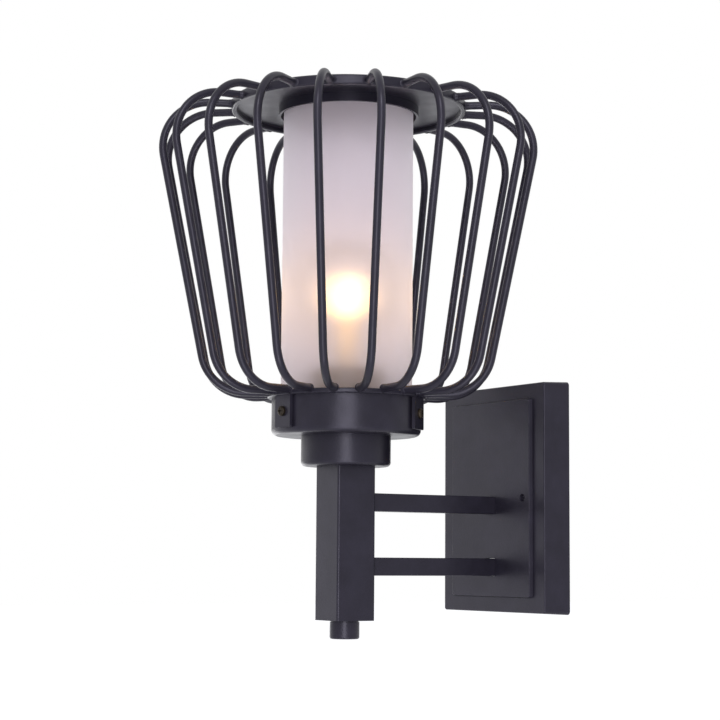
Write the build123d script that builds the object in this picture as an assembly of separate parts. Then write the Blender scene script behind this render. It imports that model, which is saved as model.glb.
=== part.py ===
from build123d import *
import math
import os

# Outdoor wall light: a cage of bent wires round a frosted glass tube, on a post held off the
# wall by two arms. Millimetres, +Z up. The origin is the middle of the wall plate's back, the
# wall is the plane Y = 0, and the lamp stands out towards -Y. Heights are Z values.

# Cuts and clearances
overrun = 1.0  # every cut runs this far past the face that it opens
thread_gap = 0.06  # radial, between a thread and the hole that it turns in
slip_gap = 0.1  # between a piece and the hole or ring that it is pushed into
turning_gap = 0.3  # between the lamp cap and the shell that it screws into

# Lamp axis
reach = 129.6  # wall to lamp axis

# Wall plate: a cast pan with a raised panel
plate_width = 108.0
plate_height = 144.0
plate_depth = 19.0  # wall to rim face
plate_draw = 0.9  # how far each side leans in between the wall and the rim face
plate_wall = 2.0
plate_corner = 2.5
plate_edge = 0.8
panel_side_margin = 12.6  # plate's side to the panel's
panel_end_margin = 10.0  # plate's end to the panel's
panel_rise = 2.4
panel_draw = 0.7
panel_corner = 2.0
panel_edge = 0.4
fixing_inset = 7.4  # panel's side to the middle of each fixing hole
fixing_bore = 5.0

# Mounting bar: a strap bent forward at both ends to meet the panel from behind
bar_height = 15.0
bar_thickness = 2.0
bar_end = 4.9  # middle of a fixing hole to the bar's end
bar_foot = 12.0  # length of each end that lies behind the panel
bar_bend = 1.0  # inner radius of its bends
bar_thread_bore = 3.3
slot_room = 3.9  # between each slot and the bend beside it
slot_length = 14.0
slot_width = 5.0

# Arms and post: square tubes
arm_side = 11.0
arm_wall = 1.2
arm_corner = 0.6
upper_arm_height = -4.2
lower_arm_rise = 18.9  # panel's lower end to the arm's middle
post_side = 26.5
post_wall = 1.5
post_corner = 1.5
post_top = 17.1
post_bottom = -75.4
wire_hole = 7.6  # through the post's wall, out of the upper arm
plug_thickness = 3.0

# Inner plate that the arms are welded to
inner_plate_width = 34.0
inner_plate_thickness = 2.5
inner_plate_top_room = 4.0  # to the step behind the panel, at the top
inner_plate_bottom_room = 3.0  # and at the bottom
inner_plate_corner = 3.0

# Terminal block and its screws
block_width = 29.0
block_height = 17.0
block_room = 4.4  # between the wall and the block
block_drop = 22.0  # panel's upper end to the block's middle
block_edge = 0.8
pole_pitch = 9.0
pole_room = 0.2  # round a lead in the block
lead_standoff = 7.0  # inner plate to the leads' centre lines
clamp_room = 0.2  # round a clamp screw's head in its well
clamp_pitch = 9.0
clamp_diameter = 2.4
clamp_head = 3.0
clamp_head_height = 1.6
block_screw_diameter = 2.5
block_screw_head = 4.2
block_screw_head_height = 1.6
slot_cut = 0.5  # width and depth of a screwdriver slot

# Earth screw
earth_diameter = 4.0
earth_head = 7.6
earth_head_height = 2.6
earth_place_x = -12.0
earth_drop = 27.5  # block's underside to the screw's middle

# Leads
lead_diameter = 2.2
lead_gap = 0.4  # between the live and neutral leads in the arm and the pipe
lead_bend = 5.0
lead_meeting = 8.0  # height where the two leads have come together
lead_turn = 6.0  # height below the block where they start to slant
arm_entry_bend = 7.0
post_bend = 12.0

# Threaded pipe, its nut and the knob
pipe_diameter = 10.0
pipe_bore = 7.6
pipe_over_nut = 0.9
pipe_end_room = 1.2  # between the pipe's lower end and the bottom of the knob's bore
pipe_slot_width = 6.0
pipe_slot_height = 10.0
nut_across_flats = 13.0
nut_height = 3.0
pipe_room = 0.2  # round the pipe in the plain holes that it passes through
washer_diameter = 17.0
washer_thickness = 0.8
knob_diameter = 18.0
knob_height = 10.2
knob_edge = 1.2
knob_base = 1.8  # what is left under its bore

# Collar between the post and the cup
collar_diameter = 54.5
collar_wall = 1.5
collar_edge = 2.6

# Cup
cup_diameter = 90.8
cup_bottom = 35.4
cup_height = 22.6
cup_wall = 1.5
cup_edge = 3.5

# Glass tube and its seals
glass_room = 3.9  # between the glass and the cup's wall
glass_wall = 3.0
glass_length = 200.0
glass_edge = 0.6
seat_base = 1.0  # thickness of the seal under the glass
seat_lip = 1.2
seat_height = 3.2  # how far its lips reach up the glass
top_seal_thickness = 0.9
top_seal_width = 4.2

# Lampholder
bracket_thickness = 1.2
bracket_width = 14.0
bracket_leg = 19.0  # height of each leg over the cup's floor
holder_wall = 4.1
holder_gap = 1.5  # between the nut and the body
holder_height = 34.0
holder_floor = 4.0
holder_edge = 1.0
holder_recess_diameter = 18.0
holder_recess_depth = 2.0
shell_wall = 0.35  # at the bottom of its thread
shell_mouth = 0.5  # over its thread
shell_lift = 3.6  # holder floor to the shell's lower end
tongue_width = 6.0
tongue_length = 16.0
tongue_thickness = 0.4
tongue_rise = 1.0
terminal_width = 5.0
terminal_depth = 4.0
terminal_thickness = 1.0
holder_screw_diameter = 3.0
holder_screw_head = 5.6
holder_screw_head_height = 1.8
holder_screw_reach = 2.4  # into the body
holder_screw_drop = 4.0  # below the ends of the bracket's legs

# Lamp: Edison screw cap of 27 mm and a round envelope of 60 mm
contact_diameter = 9.6
contact_thickness = 1.6
contact_edge = 0.6
insulator_low_diameter = 12.0
insulator_room = 0.65  # between the insulator and the inside of the cap
insulator_height = 4.4
cap_plain = 2.355  # height of the cap over its thread
cap_thread_diameter = 26.3
cap_thread_depth = 0.5  # mean line to crest and mean line to root
cap_thread_pitch = 3.629
cap_wall = 0.5
cap_turns = 5
lamp_room = 7.0  # between the envelope and the glass tube
envelope_wall = 0.8
neck_overhang = 0.85  # past the cap's thread
neck_length = 4.2  # cap to where the neck starts to widen
neck_blend = 45.0
neck_plug_room = 0.35  # between the neck's end and the inside of the cap
neck_plug_height = 6.0
stem_diameter = 7.0
stem_height = 40.0
stem_flare_room = 0.5  # between the flare and the neck's end
stem_flare_thickness = 1.5
filament_diameter = 0.8
filament_width = 26.0
filament_height = 22.0
filament_feed = 1.8  # half distance between the feed wires at the stem
filament_bend = 1.0

# Cage
wire_count = 20
wire_diameter = 4.8
first_wire_angle = 13.2  # degrees from straight out of the wall
wire_in_ring = 2.6  # top ring's lower face to the wires' centre lines
wire_lift = 3.0  # cup's rim to the wires' lower centre lines
shoulder_reach = 48.2  # top ring to where the top run and the leg would meet in a sharp corner
heel_reach = 36.1  # bottom ring to where the leg and the bottom run would meet in a sharp corner
wire_shoulder_bend = 28.5
wire_heel_bend = 26.5
top_ring_diameter = 144.8
top_ring_width = 3.4
top_ring_height = 6.0
top_ring_drop = 3.1  # disc's underside to the ring's lower face
top_ring_edge = 1.1
disc_thickness = 1.5
sleeve_room = 1.8  # between the glass and the sleeve
sleeve_wall = 1.5
sleeve_drop = 5.8
bottom_ring_overhang = 2.6  # past the cup's side
bottom_ring_width = 3.8
bottom_ring_height = 3.0
bottom_ring_edge = 0.8
tab_count = 3
first_tab_angle = 5.2
tab_width = 15.0
tab_thickness = 2.0
tab_end_room = 3.3  # cup's underside to the tabs' lower ends
tab_corner = 1.0
tab_screw_drop = 9.7  # below the cup's rim
tab_screw_diameter = 3.0
tab_screw_head = 6.0
tab_screw_head_height = 2.0
tab_screw_length = 6.0
recess_width = 0.8
recess_length = 3.4
recess_depth = 1.1

# Sizes that follow from the ones above
panel_width = plate_width - 2 * panel_side_margin
panel_height = plate_height - 2 * panel_end_margin
fixing_spacing = panel_width - 2 * fixing_inset
pole_bore = lead_diameter + 2 * pole_room
clamp_bore = clamp_head + 2 * clamp_room
lead_spacing = lead_diameter + lead_gap
pipe_hole = pipe_diameter + 2 * pipe_room
knob_bore_depth = knob_height - knob_base
glass_diameter = cup_diameter - 2 * (cup_wall + glass_room)
cap_inside = cap_thread_diameter - 2 * (2 * cap_thread_depth + cap_wall)
cap_thread_height = cap_turns * cap_thread_pitch
shell_diameter = cap_thread_diameter + 2 * (turning_gap + 2 * cap_thread_depth + shell_wall)
holder_cavity = shell_diameter + 2 * slip_gap
holder_diameter = holder_cavity + 2 * holder_wall
envelope_diameter = glass_diameter - 2 * (glass_wall + lamp_room)
neck_diameter = cap_thread_diameter + 2 * neck_overhang
neck_plug_diameter = cap_inside - 2 * neck_plug_room
bottom_ring_diameter = cup_diameter + 2 * bottom_ring_overhang

# Places that follow: distances from the wall, then heights
panel_face = plate_depth + panel_rise
panel_inside = panel_face - plate_wall
inner_plate_back = panel_inside - inner_plate_thickness
leads_from_wall = inner_plate_back - lead_standoff
lower_arm_height = lower_arm_rise - panel_height / 2
block_middle = panel_height / 2 - block_drop
block_bottom = block_middle - block_height / 2
earth_place_height = block_bottom - earth_drop
knob_top = post_bottom - washer_thickness
collar_bottom = post_top
cup_floor = cup_bottom + cup_wall
cup_rim = cup_bottom + cup_height
tab_screw_height = cup_rim - tab_screw_drop
nut_bottom = cup_floor + bracket_thickness
nut_top = nut_bottom + nut_height
holder_bottom = nut_top + holder_gap
holder_floor_top = holder_bottom + holder_floor
holder_screw_height = cup_floor + bracket_leg - holder_screw_drop
lamp_bottom = holder_floor_top + tongue_thickness + tongue_rise
insulator_bottom = lamp_bottom + contact_thickness
cap_bottom = insulator_bottom + insulator_height
cap_thread_top = cap_bottom + cap_thread_height
cap_top = cap_thread_top + cap_plain
neck_foot = cap_top + neck_length
glass_bottom = cup_floor + seat_base
glass_top = glass_bottom + glass_length
disc_underside = glass_top + top_seal_thickness
top_ring_bottom = disc_underside - top_ring_drop

wall = Plane.XZ
lamp_plane = Plane.XZ.offset(reach)
lamp_axis = Axis((0, -reach, 0), (0, 0, 1))


def turned(corners):
    """Solid turned about the lamp axis from (radius, height) corners."""
    profile = make_face(Polyline(*corners, close=True))
    return revolve(lamp_plane * profile, lamp_axis)


def turned_lines(lines):
    """Solid turned about the lamp axis from the closed run of lines and arcs given."""
    return revolve(lamp_plane * make_face(lines), lamp_axis)


def ring(outer, inner, low, high):
    """Ring about the lamp axis, from diameters and heights."""
    return turned([(inner / 2, low), (outer / 2, low), (outer / 2, high), (inner / 2, high)])


def upright(diameter, low, high, x=0, from_wall=0):
    """Upright round bar or bore."""
    disc = Plane.XY.offset(low) * Pos(x, -from_wall) * Circle(diameter / 2)
    return extrude(disc, amount=high - low)


def outward(diameter, near, far, x=0, height=0):
    """Round bar or bore square to the wall, between two distances from it."""
    disc = wall.offset(near) * Pos(x, height) * Circle(diameter / 2)
    return extrude(disc, amount=far - near)


def slab(width, height, near, far, x=0, middle=0, corner=0):
    """Plate parallel to the wall, between two distances from it."""
    outline = RectangleRounded(width, height, corner) if corner else Rectangle(width, height)
    return extrude(wall.offset(near) * Pos(x, middle) * outline, amount=far - near)


def drafted(width, height, near, far, draw, corner):
    """Block on a plane parallel to the wall, whose sides lean in by draw on the way out."""
    outline = wall.offset(near) * RectangleRounded(width, height, corner)
    lean = math.degrees(math.atan(draw / (far - near)))
    return extrude(outline, amount=far - near, taper=lean)


def round_about(piece, angle):
    """The piece turned about the lamp axis by an angle in degrees."""
    return Pos(0, -reach, 0) * Rot(0, 0, angle) * Pos(0, reach, 0) * piece


def radial(diameter, near, far, height):
    """Round bar or bore pointing away from the wall, between two distances from the lamp axis."""
    return outward(diameter, reach + near, reach + far, height=height)


def swept(route, diameter):
    """Round bar along a route of lines and arcs."""
    start = Plane(route @ 0, z_dir=route % 0)
    return sweep(start * Circle(diameter / 2), path=route)


def rounded_route(points, bends):
    """Straight runs through the points, joined by an arc of the given radius at each corner."""
    points = [Vector(*point) for point in points]
    pieces = []
    here = points[0]
    for before, corner, after, bend in zip(points, points[1:], points[2:], bends):
        back = (before - corner).normalized()
        ahead = (after - corner).normalized()
        half_angle = math.radians(back.get_angle(ahead)) / 2
        cut_off = bend / math.tan(half_angle)
        start = corner + back * cut_off
        end = corner + ahead * cut_off
        inward = (back + ahead).normalized()
        middle = corner + inward * (bend / math.sin(half_angle) - bend)
        pieces += [Line(here, start), ThreePointArc(start, middle, end)]
        here = end
    pieces.append(Line(here, points[-1]))
    return Wire(pieces)


def wave(mean, depth, low, turns):
    """Arcs of a rounded thread seen in section, going up from (mean, low)."""
    arcs = []
    quarter = cap_thread_pitch / 4
    for turn in range(turns):
        base = low + turn * cap_thread_pitch
        for start, side in ((base, 1), (base + 2 * quarter, -1)):
            crest = (mean + side * depth, start + quarter)
            arcs.append(ThreePointArc((mean, start), crest, (mean, start + 2 * quarter)))
    return arcs


def make_backplate():
    """Pan with a raised panel, open towards the wall."""
    rim = drafted(plate_width, plate_height, 0, plate_depth, plate_draw, plate_corner)
    rim = fillet(rim.faces().sort_by(Axis.Y)[0].edges(), plate_edge)
    panel = drafted(panel_width, panel_height, plate_depth, panel_face, panel_draw, panel_corner)
    panel = fillet(panel.faces().sort_by(Axis.Y)[0].edges(), panel_edge)
    inside_width = plate_width - 2 * plate_wall
    inside_height = plate_height - 2 * plate_wall
    rim_inside = plate_depth - plate_wall
    hollow = drafted(inside_width, inside_height, 0, rim_inside, plate_draw, plate_corner)
    hollow += slab(inside_width, inside_height, -overrun, 0, corner=plate_corner)
    step_width = panel_width - 2 * plate_wall
    step_height = panel_height - 2 * plate_wall
    hollow += slab(step_width, step_height, 0, panel_inside, corner=panel_corner)
    plate = rim + panel - hollow
    for side in (-1, 1):
        x = side * fixing_spacing / 2
        plate -= outward(fixing_bore, panel_inside - overrun, panel_face + overrun, x=x)
    arm_opening = arm_side + 2 * slip_gap
    for height in (upper_arm_height, lower_arm_height):
        near = panel_inside - overrun
        far = panel_face + overrun
        plate -= slab(arm_opening, arm_opening, near, far, middle=height, corner=arm_corner)
    return plate


def make_mounting_bar():
    """Strap on the wall whose two ends step forward to the back of the panel."""
    foot_end = fixing_spacing / 2 + bar_end
    leg = foot_end - bar_foot
    leg_outer = leg + bar_thickness
    foot_back = panel_inside - bar_thickness
    half = [
        (leg_outer, 0),
        (leg_outer, -foot_back),
        (foot_end, -foot_back),
        (foot_end, -panel_inside),
        (leg, -panel_inside),
        (leg, -bar_thickness),
    ]
    mirrored = [(-x, y) for x, y in reversed(half)]
    strap = make_face(Polyline(*half, *mirrored, close=True))
    outer_bend = bar_bend + bar_thickness
    for side in (-1, 1):
        for x, y, bend in (
            (leg_outer, 0, outer_bend),
            (leg, -bar_thickness, bar_bend),
            (leg, -panel_inside, outer_bend),
            (leg_outer, -foot_back, bar_bend),
        ):
            strap = fillet(strap.vertices().sort_by_distance((side * x, y, 0))[0], bend)
    bar = extrude(strap, amount=bar_height / 2, both=True)
    slot = SlotOverall(slot_length, slot_width)
    for side in (-1, 1):
        x = side * fixing_spacing / 2
        bar -= outward(bar_thread_bore, foot_back - overrun, panel_inside + overrun, x=x)
        slot_place = side * (leg - slot_room - slot_length / 2)
        hole = wall.offset(-overrun) * Pos(slot_place, 0) * slot
        bar -= extrude(hole, amount=bar_thickness + 2 * overrun)
    return bar


def make_inner_plate():
    """Plate behind the panel with the arms' openings and the tapped holes of two screws."""
    step = panel_height / 2 - plate_wall
    top = step - inner_plate_top_room
    bottom = inner_plate_bottom_room - step
    height = top - bottom
    middle = (top + bottom) / 2
    near = inner_plate_back
    far = panel_inside
    plate = slab(inner_plate_width, height, near, far, middle=middle, corner=inner_plate_corner)
    near -= overrun
    far += overrun
    opening = arm_side + 2 * slip_gap
    for arm_height in (upper_arm_height, lower_arm_height):
        plate -= slab(opening, opening, near, far, middle=arm_height, corner=arm_corner)
    block_bore = block_screw_diameter + 2 * thread_gap
    plate -= outward(block_bore, near, far, x=pole_pitch / 2, height=block_middle)
    earth_bore = earth_diameter + 2 * thread_gap
    plate -= outward(earth_bore, near, far, x=earth_place_x, height=earth_place_height)
    return plate


def make_arm(height):
    """Square tube from the inner plate to the post."""
    near = inner_plate_back
    far = reach - post_side / 2
    arm = slab(arm_side, arm_side, near, far, middle=height, corner=arm_corner)
    bore = arm_side - 2 * arm_wall
    return arm - slab(bore, bore, near - overrun, far + overrun, middle=height)


def pole_places():
    """The terminal block's three poles, as distances from its middle."""
    return [-pole_pitch, 0, pole_pitch]


def clamp_heights():
    """The two clamp screws of each pole."""
    return [block_middle - clamp_pitch / 2, block_middle + clamp_pitch / 2]


def make_terminal_block():
    """Block with a bore for the leads through each pole and two screw wells over it."""
    near = block_room
    block = slab(block_width, block_height, near, inner_plate_back, middle=block_middle)
    block = fillet(block.faces().sort_by(Axis.Y)[-1].edges(), block_edge)
    low = block_bottom - overrun
    high = block_bottom + block_height + overrun
    for x in pole_places():
        block -= upright(pole_bore, low, high, x=x, from_wall=leads_from_wall)
        for height in clamp_heights():
            block -= outward(clamp_bore, near - overrun, leads_from_wall, x=x, height=height)
    x = pole_pitch / 2
    bore = block_screw_diameter + 2 * slip_gap
    block -= outward(bore, near - overrun, inner_plate_back + overrun, x=x, height=block_middle)
    return block


def slotted_screw(diameter, tip, under_head, head, head_height, x, height):
    """Screw driven from the wall side, with a plain slot in its head."""
    top = under_head - head_height
    screw = outward(diameter, under_head, tip, x=x, height=height)
    screw += outward(head, top, under_head, x=x, height=height)
    return screw - slab(head + slot_cut, slot_cut, top - overrun, top + slot_cut, x=x, middle=height)


def make_terminal_screws():
    """Clamp screws, sunk in the wells down to the leads."""
    tip = leads_from_wall - lead_diameter / 2
    under_head = tip - clamp_head_height
    return [
        slotted_screw(clamp_diameter, tip, under_head, clamp_head, clamp_head_height, x, height)
        for x in pole_places()
        for height in clamp_heights()
    ]


def make_block_screw():
    """Screw through the block, between two poles, into the inner plate."""
    head = block_screw_head
    rise = block_screw_head_height
    x = pole_pitch / 2
    return slotted_screw(block_screw_diameter, panel_inside, block_room, head, rise, x, block_middle)


def make_earth_screw():
    """Screw in the inner plate that clamps the end of the earth lead."""
    seat = inner_plate_back - lead_diameter
    head = earth_head
    rise = earth_head_height
    place = (earth_place_x, earth_place_height)
    return slotted_screw(earth_diameter, panel_inside, seat, head, rise, *place)


def make_lamp_leads():
    """Live and neutral leads from the block, through the upper arm and the pipe."""
    leads = []
    top = holder_bottom + holder_recess_depth - terminal_thickness
    start = block_bottom + block_height / 4
    for side, pole in ((-1, 0), (1, pole_pitch)):
        x = side * lead_spacing / 2
        near = -leads_from_wall
        points = [
            (pole, near, start),
            (pole, near, block_bottom - lead_turn),
            (x, near, lead_meeting),
            (x, near, upper_arm_height),
            (x, -reach, upper_arm_height),
            (x, -reach, top),
        ]
        bends = [lead_bend, lead_bend, arm_entry_bend, post_bend]
        leads.append(swept(rounded_route(points, bends), lead_diameter))
    return leads


def make_earth_lead():
    """Short lead from the block's outer pole to the earth screw."""
    near = -leads_from_wall
    clamped = -(inner_plate_back - lead_diameter / 2)
    end = earth_place_height + earth_diameter / 2 + slip_gap
    points = [
        (-pole_pitch, near, block_bottom + block_height / 4),
        (-pole_pitch, near, block_bottom - lead_turn),
        (earth_place_x, clamped, end + lead_turn),
        (earth_place_x, clamped, end),
    ]
    return swept(rounded_route(points, [lead_bend, lead_bend]), lead_diameter)


def make_post():
    """Square tube with the hole that the leads come in by."""
    outline = RectangleRounded(post_side, post_side, post_corner)
    bore_side = post_side - 2 * post_wall
    place = Pos(0, -reach, 0)
    post = extrude(place * Plane.XY.offset(post_bottom) * outline, amount=post_top - post_bottom)
    low = post_bottom - overrun
    length = post_top - post_bottom + 2 * overrun
    post -= extrude(place * Plane.XY.offset(low) * Rectangle(bore_side, bore_side), amount=length)
    near = reach - post_side / 2 - overrun
    far = reach - post_side / 2 + post_wall + overrun
    return post - outward(wire_hole, near, far, height=upper_arm_height)


def make_post_plugs():
    """Square plugs in the two ends of the post, with the pipe's hole in each."""
    side = post_side - 2 * post_wall - 2 * slip_gap
    plugs = []
    for low in (post_bottom, post_top - plug_thickness):
        square = Pos(0, -reach, 0) * Plane.XY.offset(low) * Rectangle(side, side)
        plug = extrude(square, amount=plug_thickness)
        high = low + plug_thickness
        plugs.append(plug - upright(pipe_hole, low - overrun, high + overrun, from_wall=reach))
    return plugs


def make_pipe():
    """Hollow threaded pipe with a slot in its side for the leads."""
    low = knob_top - knob_bore_depth + pipe_end_room
    pipe = ring(pipe_diameter, pipe_bore, low, nut_top + pipe_over_nut)
    middle = upper_arm_height + pipe_slot_height / 2
    near = reach - pipe_diameter
    return pipe - slab(pipe_slot_width, pipe_slot_height, near, reach, middle=middle)


def make_washer():
    """Plain washer between the post and the knob."""
    return ring(washer_diameter, pipe_hole, knob_top, post_bottom)


def make_knob():
    """Turned nut with a blind threaded bore, under the post."""
    knob = upright(knob_diameter, knob_top - knob_height, knob_top, from_wall=reach)
    knob = fillet(knob.edges().group_by(Axis.Z)[0], knob_edge)
    bore = pipe_diameter + 2 * thread_gap
    return knob - upright(bore, knob_top - knob_bore_depth, knob_top + overrun, from_wall=reach)


def cover(diameter, thickness, low, high, edge):
    """Round cover, open at the top, with a rounded lower edge and the pipe's hole."""
    outer = diameter / 2
    inner = outer - thickness
    floor = low + thickness
    rim = high + overrun
    shell = turned([(0, low), (outer, low), (outer, high), (0, high)])
    shell = fillet(shell.edges().group_by(Axis.Z)[0], edge)
    hollow = turned([(0, floor), (inner, floor), (inner, rim), (0, rim)])
    hollow = fillet(hollow.edges().group_by(Axis.Z)[0], edge - thickness)
    hole = upright(pipe_hole, low - overrun, floor + overrun, from_wall=reach)
    return shell - hollow - hole


def make_collar():
    """Cover between the post and the cup."""
    return cover(collar_diameter, collar_wall, collar_bottom, cup_bottom, collar_edge)


def tab_angles():
    """Where the cage's tabs and their screws stand."""
    return [first_tab_angle + count * 360 / tab_count for count in range(tab_count)]


def make_cup():
    """Cup that holds the glass, with a tapped hole for each tab's screw."""
    cup = cover(cup_diameter, cup_wall, cup_bottom, cup_rim, cup_edge)
    bore = tab_screw_diameter + 2 * thread_gap
    near = cup_diameter / 2 - cup_wall - overrun
    hole = radial(bore, near, cup_diameter / 2 + overrun, tab_screw_height)
    for angle in tab_angles():
        cup -= round_about(hole, angle)
    return cup


def make_pipe_nut():
    """Hexagon nut that holds the lampholder's bracket down on the cup's floor."""
    hexagon = RegularPolygon(nut_across_flats / 2, 6, major_radius=False)
    nut = extrude(Pos(0, -reach, nut_bottom) * hexagon, amount=nut_height)
    bore = pipe_diameter + 2 * thread_gap
    return nut - upright(bore, nut_bottom - overrun, nut_top + overrun, from_wall=reach)


def bracket_screw_sides():
    """The two sides of the lampholder that the bracket holds."""
    return (0, 180)


def make_bracket():
    """Strap under the lampholder, with a leg up each side of it."""
    inner = holder_diameter / 2 + slip_gap
    outer = inner + bracket_thickness
    base = Rectangle(bracket_width, 2 * outer)
    bracket = extrude(Pos(0, -reach, cup_floor) * base, amount=bracket_leg)
    gap = Rectangle(bracket_width + 2 * overrun, 2 * inner)
    bracket -= extrude(Pos(0, -reach, nut_bottom) * gap, amount=bracket_leg)
    bracket -= upright(pipe_hole, cup_floor - overrun, nut_bottom + overrun, from_wall=reach)
    hole = radial(
        holder_screw_diameter + 2 * slip_gap,
        inner - overrun,
        outer + overrun,
        holder_screw_height,
    )
    for angle in bracket_screw_sides():
        bracket -= round_about(hole, angle)
    return bracket


def make_holder_screws():
    """Screws through the bracket's legs into the moulded body."""
    height = holder_screw_height
    under_head = holder_diameter / 2 + slip_gap + bracket_thickness
    top = under_head + holder_screw_head_height
    screw = radial(holder_screw_diameter, holder_diameter / 2 - holder_screw_reach, under_head, height)
    screw += radial(holder_screw_head, under_head, top, height)
    near = reach + top - slot_cut
    far = reach + top + overrun
    screw -= slab(holder_screw_head + slot_cut, slot_cut, near, far, middle=height)
    return [round_about(screw, angle) for angle in bracket_screw_sides()]


def make_holder_body():
    """Moulded body with the cavity for the screw shell and a recess for the terminals."""
    top = holder_bottom + holder_height
    outer = holder_diameter / 2
    cavity = holder_cavity / 2
    recess = holder_recess_diameter / 2
    recess_top = holder_bottom + holder_recess_depth
    body = turned(
        [
            (0, recess_top),
            (recess, recess_top),
            (recess, holder_bottom),
            (outer, holder_bottom),
            (outer, top),
            (cavity, top),
            (cavity, holder_floor_top),
            (0, holder_floor_top),
        ]
    )
    body = fillet(body.edges().group_by(Axis.Z)[-1], holder_edge)
    bore = holder_screw_diameter + 2 * thread_gap
    near = holder_diameter / 2 - holder_screw_reach - thread_gap
    hole = radial(bore, near, holder_diameter / 2 + overrun, holder_screw_height)
    for angle in bracket_screw_sides():
        body -= round_about(hole, angle)
    return body


def make_terminals():
    """Two terminals in the body's recess, on the ends of the leads."""
    top = holder_bottom + holder_recess_depth
    pieces = []
    for side in (-1, 1):
        x = side * (lead_spacing / 2 - lead_diameter / 2 + terminal_width / 2)
        outline = Rectangle(terminal_width, terminal_depth)
        place = Pos(x, -reach, top - terminal_thickness)
        pieces.append(extrude(place * outline, amount=terminal_thickness))
    return pieces


def make_tongue():
    """Springy centre contact on the holder's floor, raised under the lamp."""
    top = tongue_thickness + tongue_rise
    flat = tongue_length / 4
    base = holder_floor_top
    outline = [
        (-tongue_length / 2, base),
        (-flat, base),
        (0, base + tongue_rise),
        (flat, base + tongue_rise),
        (flat, base + top),
        (-tongue_thickness / 2, base + top),
        (-flat, base + tongue_thickness),
        (-tongue_length / 2, base + tongue_thickness),
    ]
    strip = lamp_plane.offset(-tongue_width / 2) * make_face(Polyline(*outline, close=True))
    return extrude(strip, amount=tongue_width)


def make_screw_shell():
    """Shell in the lampholder with a rounded thread on its inside."""
    low = holder_floor_top + shell_lift
    high = cap_thread_top + shell_mouth
    outer = shell_diameter / 2
    mean = cap_thread_diameter / 2 + turning_gap + cap_thread_depth
    arcs = wave(mean, cap_thread_depth, cap_bottom, cap_turns)
    lines = [
        Line((mean, cap_thread_top), (mean, high)),
        Line((mean, high), (outer, high)),
        Line((outer, high), (outer, low)),
        Line((outer, low), (mean, low)),
        Line((mean, low), (mean, cap_bottom)),
    ]
    return turned_lines(arcs + lines)


def make_lamp_contact():
    """The lamp's centre contact."""
    disc = upright(contact_diameter, lamp_bottom, insulator_bottom, from_wall=reach)
    return fillet(disc.edges().group_by(Axis.Z)[0], contact_edge)


def make_insulator():
    """Glass insulator between the lamp's contact and its cap."""
    low = insulator_low_diameter / 2
    high = cap_inside / 2 - insulator_room
    return turned([(0, insulator_bottom), (low, insulator_bottom), (high, cap_bottom), (0, cap_bottom)])


def make_cap():
    """Lamp cap with a rounded thread on its outside."""
    mean = cap_thread_diameter / 2 - cap_thread_depth
    inner = cap_inside / 2
    arcs = wave(mean, cap_thread_depth, cap_bottom, cap_turns)
    lines = [
        Line((mean, cap_thread_top), (mean, cap_top)),
        Line((mean, cap_top), (inner, cap_top)),
        Line((inner, cap_top), (inner, cap_bottom)),
        Line((inner, cap_bottom), (mean, cap_bottom)),
    ]
    return turned_lines(arcs + lines)


def envelope_corners(radius, neck, blend):
    """Middle of the round part's height, and the neck's blend: its middle and its upper end."""
    across = neck + blend
    rise = math.sqrt((radius + blend) ** 2 - across**2)
    share = blend / (radius + blend)
    meeting = (across * (1 - share), neck_foot + rise * share)
    halfway = (math.atan2(meeting[1] - neck_foot, meeting[0] - across) + math.pi) / 2
    middle = (across + blend * math.cos(halfway), neck_foot + blend * math.sin(halfway))
    return neck_foot + rise, middle, meeting


def make_envelope():
    """Hollow glass envelope with the neck that sits in the cap."""
    radius = envelope_diameter / 2
    neck = neck_diameter / 2
    plug = neck_plug_diameter / 2
    plug_bottom = cap_top - neck_plug_height
    centre, outer_middle, outer_meeting = envelope_corners(radius, neck, neck_blend)
    thin = envelope_wall
    inner = envelope_corners(radius - thin, neck - thin, neck_blend + thin)
    _, inner_middle, inner_meeting = inner

    def crown(size, meeting):
        start = math.atan2(meeting[1] - centre, meeting[0])
        half = (start + math.pi / 2) / 2
        middle = (size * math.cos(half), centre + size * math.sin(half))
        return ThreePointArc(meeting, middle, (0, centre + size))

    step = cap_top + thin
    lines = [
        Line((plug - thin, plug_bottom), (plug, plug_bottom)),
        Line((plug, plug_bottom), (plug, cap_top)),
        Line((plug, cap_top), (neck, cap_top)),
        Line((neck, cap_top), (neck, neck_foot)),
        ThreePointArc((neck, neck_foot), outer_middle, outer_meeting),
        crown(radius, outer_meeting),
        Line((0, centre + radius), (0, centre + radius - thin)),
        crown(radius - thin, inner_meeting),
        ThreePointArc(inner_meeting, inner_middle, (neck - thin, neck_foot)),
        Line((neck - thin, neck_foot), (neck - thin, step)),
        Line((neck - thin, step), (plug - thin, step)),
        Line((plug - thin, step), (plug - thin, plug_bottom)),
    ]
    return turned_lines(lines)


def stem_levels():
    """Bottom of the stem's flare and top of the stem."""
    bottom = cap_top - neck_plug_height
    return bottom, bottom + stem_height


def make_stem():
    """Glass stem in the lamp's neck that carries the filament."""
    bottom, top = stem_levels()
    flare = neck_plug_diameter / 2 - envelope_wall - stem_flare_room
    rod = stem_diameter / 2
    shoulder = bottom + stem_flare_thickness
    return turned([(0, bottom), (flare, bottom), (flare, shoulder), (rod, shoulder), (rod, top), (0, top)])


def make_filament():
    """Feed wires and filament in one loop over the stem."""
    _, stem_top = stem_levels()
    top = stem_top + filament_height
    half = filament_width / 2
    points = [
        (-filament_feed, -reach, stem_top),
        (-filament_feed, -reach, stem_top + filament_height / 4),
        (-half, -reach, top),
        (half, -reach, top),
        (filament_feed, -reach, stem_top + filament_height / 4),
        (filament_feed, -reach, stem_top),
    ]
    return swept(rounded_route(points, [filament_bend] * (len(points) - 2)), filament_diameter)


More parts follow.
